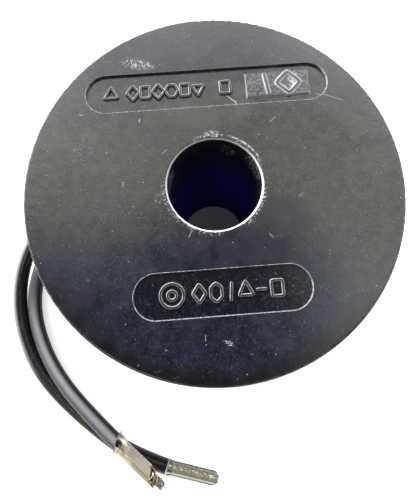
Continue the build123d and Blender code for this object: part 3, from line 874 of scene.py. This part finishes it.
# ---------------------------------------------------------------- the other pieces' materials
def moulded_mark(name, top, shoulder, line_at, width, rear):
    """The same thermoset in a raised character: its shoulders rubbed pale and painted brightest as highlight
    on the flanks that face up the face, and by rear on those that face down it; its flanks and foot are
    painted with
    shade. Pattern: across the stroke, how far up a flank faces."""
    made, tree, mm = new_material(name)
    spot = add(tree, "SeparateXYZ", {0: add(tree, "UVMap", uv_map="mm")})
    broken = add(tree, "TexNoise", {"Vector": mm, "Scale": 1 / 0.9, "Detail": 3.0, "Roughness": 0.7})
    grain = add(tree, "TexNoise", {"Vector": mm, "Scale": 1 / 0.35, "Detail": 1.0})
    side = distance_from(tree, pick(spot.outputs, "X"), 0.0)
    # Painted light: the pale shoulder line is strongest on flanks that face up the face, where the light
    # falls.
    facing = ramp(tree, pick(spot.outputs, "Y"), -0.5, 0.4, rear, 1.0)
    line = both(tree, band(tree, side, line_at, width, 0.06), facing,
                ramp(tree, broken, 0.3, 0.6, 0.35, 1.0))
    # Painted shade on each stroke's flanks and foot.
    foot_shade = ramp(tree, side, line_at + 0.02, line_at + 0.09)
    skin = layered(tree, top, (ramp(tree, grain, 0.45, 0.75), "#3a3a40"), (foot_shade, "#08080b"), (line, shoulder))
    rough = add(tree, "Mix", {"Factor": line, "A": 0.26, "B": 0.55})
    relief = raised(tree, (grain, 0.3, 0.01))
    surface(tree, Base_Color=skin, Roughness=rough, IOR=RESIN_IOR, Normal=relief)
    return made


def extruded_pvc(name, near, far, painted_flank, crest, fade):
    """Black PVC insulation, extruded: black underneath and on the right, and painted grey as light along its
    left and top (near the coil, far from it, and on the left flank) from crest on round and between the two
    places of fade,
    with nicks and a little dust. Pattern: along the cord, around it (0 right, 0.2 top, 0.4 left)."""
    made, tree, mm = new_material(name)
    waves = add(tree, "TexNoise", {"Vector": mm, "Scale": 1 / 1.4, "Detail": 2.0})
    grain = add(tree, "TexNoise", {"Vector": mm, "Scale": 1 / 0.25, "Detail": 1.0})
    y = pick(add(tree, "SeparateXYZ", {0: mm}).outputs, "Y")
    around = pick(add(tree, "SeparateXYZ", {0: add(tree, "UVMap", uv_map="UVMap")}).outputs, "Y")
    # Painted light: the lead is grey where the light falls on its top and left.
    painted_lit_side = both(tree, ramp(tree, around, crest, crest + 0.11), ramp(tree, around, 0.62, 0.5),
                   ramp(tree, y, *fade))
    wear_and_painted_light = layered(tree, near, (ramp(tree, y, -8.0, -20.0), far), (ramp(tree, around, 0.15, 0.26), painted_flank))
    nicks = both(tree, hairlines(tree, mm, -45, 0.8, 0.2, 0.27), 0.5)
    marks = strongest(tree, [nicks, dust(tree, mm, 0.5, 0.05, 0.1)])
    skin = layered(tree, "#0b0b0d", (painted_lit_side, wear_and_painted_light), (ramp(tree, grain, 0.55, 0.75, 0.0, 0.12), "#8c8c92"),
                   (marks, "#8c8c90"))
    rough = ramp(tree, grain, 0.3, 0.7, 0.27, 0.33)
    relief = raised(tree, (waves, 0.3, 0.03), (grain, 0.3, 0.008))
    surface(tree, Base_Color=skin, Roughness=rough, IOR=1.45, Normal=relief)
    return made


def tinned_strip(name, face, side, side_end, side_from, streaks, struck, mouth_light_and_shade):
    """Tin-plated copper strip, rolled and pressed: lengthwise rolling streaks and dull grain; sides painted
    in the given colour, light on a lit side and dark on a shaded one; a painted highlight along the row where
    the teeth struck with a painted shadow beside it; painted highlights along edges; a painted highlight by
    the mouth, a painted shadow in the dent there and a darker corner; painted shade inside. Pattern:
    millimetres round the sleeve, and along it from its mouth."""
    made, tree, mm = new_material(name)
    spot = add(tree, "UVMap", uv_map="mm")
    rolled = add(tree, "Mapping", {"Vector": spot, "Scale": (1 / 0.16, 1 / 2.4, 1.0)})
    rolling = add(tree, "TexNoise", {"Vector": rolled, "Scale": 1.0, "Detail": 3.0, "Roughness": 0.65})
    cloud = add(tree, "TexNoise", {"Vector": mm, "Scale": 1 / 1.1, "Detail": 3.0, "Roughness": 0.6})
    drawn = add(tree, "Mapping", {"Vector": spot, "Scale": (1 / 0.25, 1 / 0.9, 1.0)})
    scrape = add(tree, "TexNoise", {"Vector": drawn, "Scale": 1.0, "Detail": 2.0, "Roughness": 0.6})
    grain = add(tree, "TexNoise", {"Vector": mm, "Scale": 1 / 0.18, "Detail": 1.0})
    place = add(tree, "SeparateXYZ", {0: spot})
    across, along = (pick(place.outputs, axis) for axis in "XY")

    # Painted light and shade on the sides: a lit side is painted pale, a shaded side dark.
    far_side = ramp(tree, across, side_from, side_from + 0.2)
    on_side = strongest(tree, [ramp(tree, across, 0.75, 0.55), far_side])
    painted_flank = layered(tree, side, (ramp(tree, along, 2.5, 7.0), side_end))
    # Painted highlight along the row of pits the teeth struck, and a painted shadow beside it.
    row = both(tree, band(tree, across, 6.75, 0.1, 0.5), struck, ramp(tree, scrape, 0.47, 0.62))
    painted_pit_shadow = both(tree, band(tree, across, 6.1, 0.02, 0.3), ramp(tree, scrape, 0.5, 0.36), struck)
    # Painted highlight: pale lines along the upper edge and, on sleeve B, the lower edge.
    upper_edge = both(tree, band(tree, across, 5.85, 0.1, 0.2), ramp(tree, scrape, 0.3, 0.6, 0.3, 0.9),
                      1 - 0.8 * struck)
    edge_highlight = strongest(tree, [upper_edge, both(tree, band(tree, across, 8.1, 0.1, 0.12), struck)])
    # Painted highlight on sleeve A's top by the mouth.
    pale_and_painted_highlight = both(tree, patch(tree, spot, (6.5, 1.0, 0.0), (0.55, 1.6, 1.0)), mouth_light_and_shade)
    corner = both(tree, patch(tree, spot, (9.1, 0.1, 0.0), (1.3, 0.9, 1.0)), mouth_light_and_shade, 0.85)
    # Painted shadow in the dent by sleeve A's mouth.
    dent_shadow = both(tree, patch(tree, spot, (7.4, 0.35, 0.0), (0.75, 1.2, 1.0)), mouth_light_and_shade,
                  ramp(tree, cloud, 0.25, 0.5))
    streaked = both(tree, ramp(tree, rolling, 0.42, 0.68), streaks)
    dulled = both(tree, ramp(tree, cloud, 0.5, 0.75), 0.3)
    tin = layered(tree, face, (on_side, painted_flank), (streaked, "#6d665c"), (dulled, "#8c8474"),
                  (row, "#cfc8b6"), (painted_pit_shadow, "#38342e"), (edge_highlight, "#f6f2e8"), (pale_and_painted_highlight, "#fffcf4"),
                  (corner, "#3c382c"), (dent_shadow, "#32242a"),
                  # painted shade inside the sleeve
                  (ramp(tree, along, 0.3 * INSIDE_MARK, 0.9 * INSIDE_MARK), "#14100c"))
    rough = ramp(tree, grain, 0.3, 0.7, 0.34, 0.46)
    relief = raised(tree, (rolling, 0.35, 0.03), (grain, 0.35, 0.012))
    surface(tree, Base_Color=tin, Metallic=1.0, Roughness=rough, Normal=relief)
    return made


def drawn_strand(name, dark):
    """Tinned copper strand, drawn and twisted: a warm grey shine that turns dark towards the cut end."""
    made, tree, mm = new_material(name)
    spot = add(tree, "SeparateXYZ", {0: add(tree, "UVMap", uv_map="mm")})
    back = pick(spot.outputs, "Y")
    cloud = add(tree, "TexNoise", {"Vector": mm, "Scale": 1 / 0.5, "Detail": 2.0})
    cut = both(tree, ramp(tree, back, dark, dark * 0.3), 0.85)
    metal = layered(tree, "#a89c84", (ramp(tree, cloud, 0.35, 0.7), "#63573f"), (cut, "#231d18"))
    rough = ramp(tree, cloud, 0.3, 0.7, 0.25, 0.4)
    relief = raised(tree, (cloud, 0.2, 0.02))
    surface(tree, Base_Color=metal, Metallic=1.0, Roughness=rough, Normal=relief)
    return made


def crimped_copper():
    """Tinned copper tube, crimped: soft dents and a dull grey shine."""
    made, tree, mm = new_material("crimped_tinned_copper")
    dents = add(tree, "TexNoise", {"Vector": mm, "Scale": 1 / 1.2, "Detail": 2.0})
    tin = layered(tree, "#b8b3a8", (ramp(tree, dents, 0.35, 0.7), "#8d8676"))
    relief = raised(tree, (dents, 0.4, 0.1))
    surface(tree, Base_Color=tin, Metallic=1.0, Roughness=0.35, Normal=relief)
    return made


def moulded_nylon():
    """Natural glass-filled nylon, injection moulded: cream, with faint flow clouds and a fine mould grain."""
    made, tree, mm = new_material("moulded_glass_filled_nylon")
    flow = add(tree, "TexNoise", {"Vector": mm, "Scale": 1 / 6.0, "Detail": 3.0, "Distortion": 0.6})
    grain = add(tree, "TexNoise", {"Vector": mm, "Scale": 1 / 0.3, "Detail": 1.0})
    nylon = layered(tree, "#cfc8b4", (ramp(tree, flow, 0.35, 0.65), "#ded8c8"))
    relief = raised(tree, (grain, 0.2, 0.02))
    rough = ramp(tree, grain, 0.3, 0.7, 0.42, 0.55)
    surface(tree, Base_Color=nylon, Roughness=rough, IOR=1.53, Normal=relief)
    return made


WIRE_PITCH = 0.45                          # the real wire is nearer 0.1 mm, too fine to tell apart


def enamelled_wire():
    """Enamelled copper wire, layer wound: parallel turns of glossy red-brown, with painted shade in the
    grooves between them.
    """
    made, tree, mm = new_material("enamelled_copper_wire")
    axes = add(tree, "SeparateXYZ", {0: mm})
    phase = add(tree, "Math", {0: pick(axes.outputs, "Z"), 1: 2 * math.pi / WIRE_PITCH}, operation="MULTIPLY")
    turns = add(tree, "Math", {0: phase}, operation="SINE")
    cloud = add(tree, "TexNoise", {"Vector": mm, "Scale": 1 / 4.0, "Detail": 2.0})
    # Painted shade in the grooves between turns.
    groove_shade = ramp(tree, turns, 0.0, -0.9)
    copper = layered(tree, "#a4532a", (ramp(tree, cloud, 0.35, 0.7), "#8a3f1e"), (groove_shade, "#3c180b"))
    relief = raised(tree, (turns, 0.7, 0.1))
    surface(tree, Base_Color=copper, Metallic=0.7, Roughness=0.3, Coat_Weight=0.6, Coat_Roughness=0.15,
            Normal=relief)
    return made


TAPE_WIDTH = 12.0


def polyester_tape():
    """Polyester film tape, wrapped: amber and smooth, with a darker line at each overlap."""
    made, tree, mm = new_material("polyester_film_tape")
    axes = add(tree, "SeparateXYZ", {0: mm})
    place = add(tree, "Math", {0: pick(axes.outputs, "Z"), 1: TAPE_WIDTH}, operation="MODULO")
    lap = band(tree, place, TAPE_WIDTH / 2, 0.15, 0.2)
    wrinkle = add(tree, "TexNoise", {"Vector": mm, "Scale": 1 / 3.0, "Detail": 3.0, "Distortion": 1.0})
    film = layered(tree, "#d9b64a", (ramp(tree, wrinkle, 0.35, 0.7), "#c79f37"), (lap, "#8f6c1f"))
    relief = raised(tree, (wrinkle, 0.3, 0.1))
    surface(tree, Base_Color=film, Roughness=0.22, IOR=1.6, Normal=relief)
    return made


# ---------------------------------------------------------------- floor and lights
SHADOW_REACH = (55.0, 100.0)               # millimetres from the axis where the mirrored floor turns white
BACKDROP_TOP = (35.0, 25.0)                # degrees above the floor: the mirrored backdrop's fading top
FLOOR_GLOW = 0.5
FLOOR_DROP = 0.05                          # below the back face, so that the two never share a plane
FLOOR_HALF = 1.0                           # metres


def rays(tree):
    """Masks for what the camera sees and for what metal mirrors or glass lets through."""
    path = add(tree, "LightPath")
    mirrored = [pick(path.outputs, kind) for kind in ("Is Glossy Ray", "Is Transmission Ray")]
    return pick(path.outputs, "Is Camera Ray"), strongest(tree, mirrored)


def make_floor():
    """A white floor that keeps the shadow; under the coil it is as dark as the bore leaves it."""
    made, tree, mm = new_material("matt_white_paper")
    seen, mirrored = rays(tree)
    out = add(tree, "VectorMath", {0: mm}, operation="LENGTH")
    open_floor = ramp(tree, out, BODY_RADIUS - 0.5, BODY_RADIUS, 0.03, 1.0)
    strength = strongest(tree, [both(tree, seen, open_floor, FLOOR_GLOW),
                                both(tree, mirrored, ramp(tree, out, *SHADOW_REACH), FLOOR_GLOW)])
    bright = add(tree, "Emission", {"Color": (1, 1, 1, 1), "Strength": strength})
    paper = add(tree, "BsdfDiffuse", {"Color": colour("#f4f4f4")})
    add(tree, "OutputMaterial", {"Surface": add(tree, "AddShader", {0: paper, 1: bright})})
    mesh = bpy.data.meshes.new("floor")
    corners = [(x * FLOOR_HALF, y * FLOOR_HALF, 0) for x, y in ((-1, -1), (1, -1), (1, 1), (-1, 1))]
    mesh.from_pydata(corners, [], [(0, 1, 2, 3)])
    mesh.transform(Matrix.Translation((0, 0, -FLOOR_DROP * MM)))
    mesh.materials.append(made)
    floor = placed("floor", mesh)


# Softboxes in a half ring behind the coil and to its right, in two tiers that face the middle of its face:
# degrees from the zenith, width and height at 1 m, then (azimuth from +X, radiance) of each.
SOFTBOX_TIERS = [
    (26, 0.27, 0.36, [(-10, 2.6), (20, 1.7), (50, 1.5), (80, 0.9), (110, 2.0), (140, 1.6)]),
    (46, 0.45, 0.36, [(20, 3.8), (50, 4.7), (80, 4.1), (110, 2.8), (140, 7.0)]),
]
# Windows, by the same values: two low ones behind the leads and one high one in front of them.
WINDOWS = [
    (78, 0.9, 0.3, [(128, 26.0)]),
    (75, 0.4, 0.3, [(162, 8.0)]),
    (34, 0.35, 0.3, [(228, 5.0)]),
]
SOFTBOX_DISTANCE = 1.0
AMBIENT = 0.07


def make_softboxes(tier):
    """The softboxes of one tier, each turned to the middle of the coil's face."""
    zenith, width, height, places = tier
    for azimuth, radiance in places:
        round_, down = math.radians(azimuth), math.radians(zenith)
        out = Vector((math.cos(round_) * math.sin(down), math.sin(round_) * math.sin(down), math.cos(down)))
        data = bpy.data.lights.new(f"softbox_{zenith}_{azimuth}", "AREA")
        data.shape = "RECTANGLE"
        data.size, data.size_y = width, height
        data.energy = radiance * math.pi * width * height
        softbox = placed(data.name, data)
        softbox.location = out * SOFTBOX_DISTANCE + Vector((0, 0, FACE * MM))
        softbox.rotation_euler = (-out).to_track_quat("-Z", "Y").to_euler()


def make_world():
    """A white backdrop: all that camera rays see, and what mirror and glass rays see low down. The rest is a
    dim room that lights the coil."""
    world = bpy.data.worlds.new("studio")
    world.use_nodes = True
    tree = world.node_tree
    tree.nodes.clear()
    seen, mirrored = rays(tree)
    way = add(tree, "SeparateXYZ", {0: pick(add(tree, "TexCoord").outputs, "Generated")})
    backdrop = ramp(tree, pick(way.outputs, "Z"), *(math.sin(math.radians(a)) for a in BACKDROP_TOP))
    white = strongest(tree, [seen, both(tree, mirrored, backdrop)])
    strength = ramp(tree, white, 0.0, 1.0, AMBIENT, 1.0)
    sky = add(tree, "Background", {"Color": (1, 1, 1, 1), "Strength": strength})
    add(tree, "OutputWorld", {"Surface": sky})
    bpy.context.scene.world = world


make_camera()
# Each lead's grey is painted light: near the coil, far from it and on the left flank.
pvc = {"a": extruded_pvc("extruded_pvc_a", near="#4a4a4e", far="#828288", painted_flank="#48484c", crest=0.02,
                         fade=(-90.0, -80.0)),
       "b": extruded_pvc("extruded_pvc_b", near="#7c7c80", far="#747478", painted_flank="#88888e", crest=0.17,
                         fade=(-36.0, -24.0))}
lead_a = make_lead("insulated_lead_a", LEAD_A_ROUTE, pvc["a"])
lead_b = make_lead("insulated_lead_b", LEAD_B_ROUTE, pvc["b"])
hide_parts("lead_a")
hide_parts("lead_b")

# Sleeve A's side colours are painted light; sleeve B's are painted shade.
tin_a = tinned_strip("pressed_tinned_copper_a", face="#a89e92", side="#f2e8c6", side_end="#b8b09a",
                     side_from=7.8, streaks=0.35, struck=0.0, mouth_light_and_shade=1.0)
tin_b = tinned_strip("pressed_tinned_copper_b", face="#777165", side="#3a372f", side_end="#3a372f",
                     side_from=8.35, streaks=0.6, struck=1.0, mouth_light_and_shade=0.0)
sleeve_a = make_ferrule("pressed_ferrule_a", FERRULE_A, press_a, tin_a)
sleeve_b = make_ferrule("pressed_ferrule_b", FERRULE_B, press_b, tin_b)
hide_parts("ferrule_a")
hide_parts("ferrule_b")

chance = np.random.default_rng(7)
strands_a = mesh_piece("twisted_strands_a", [
    lead_core(LEAD_A_ROUTE),
    pressed_core(FERRULE_A, start=1.2, end=FERRULE_A.length - 2.3, clearance=0.12),
    twisted_stub(FERRULE_A, chance), loose_strands(FERRULE_A),
], drawn_strand("drawn_tinned_copper_a", dark=0.35))
strands_b = mesh_piece("cut_strands_b", [
    lead_core(LEAD_B_ROUTE),
    pressed_core(FERRULE_B, start=0.2, end=FERRULE_B.length - 0.9, clearance=0.06),
    cut_tips(FERRULE_B, chance),
], drawn_strand("drawn_tinned_copper_b", dark=0.5))
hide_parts("conductor_a")
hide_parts("conductor_b")

upper_finish = moulded_mark("moulded_thermoset_mark", top="#111117", shoulder="#c2c3c6", line_at=0.2,
                            width=0.045, rear=0.12)
lower_finish = moulded_mark("moulded_thermoset_rubbed_mark", top="#0e0e14", shoulder="#9a9ba0", line_at=0.2,
                            width=0.04, rear=0.6)
pad_finish = moulded_mark("moulded_thermoset_scratched_mark", top="#3c3c40", shoulder="#a4a4a8", line_at=0.38,
                          width=0.1, rear=1.0)
mesh_piece("raised_marks_upper", mark_strokes(UPPER_MARKS, UPPER_RECESS[1]), upper_finish)
mesh_piece("raised_marks_lower", mark_strokes(LOWER_MARKS, LOWER_RECESS[1]), lower_finish)
mesh_piece("raised_marks_pad", [
    ribbon(bar_line(*PAD_BAR), False, PAD_TOP, **PAD_MARK),
    ribbon(polygon_line(*PAD_FRAME), True, PAD_TOP, **PAD_MARK),
], pad_finish)

dress("moulding", moulded_resin())
dress("bobbin", moulded_nylon())
dress("winding", enamelled_wire())
dress("tape", polyester_tape())
crimped = crimped_copper()
for node in ("splice_a", "splice_b", "ferrule_a", "ferrule_b", "conductor_a", "conductor_b"):
    dress(node, crimped)
for side in "ab":
    dress("lead_" + side, pvc[side])

make_floor()
for tier in SOFTBOX_TIERS + WINDOWS:
    make_softboxes(tier)
make_world()

view_settings = bpy.context.scene.view_settings
view_settings.view_transform = "Standard"
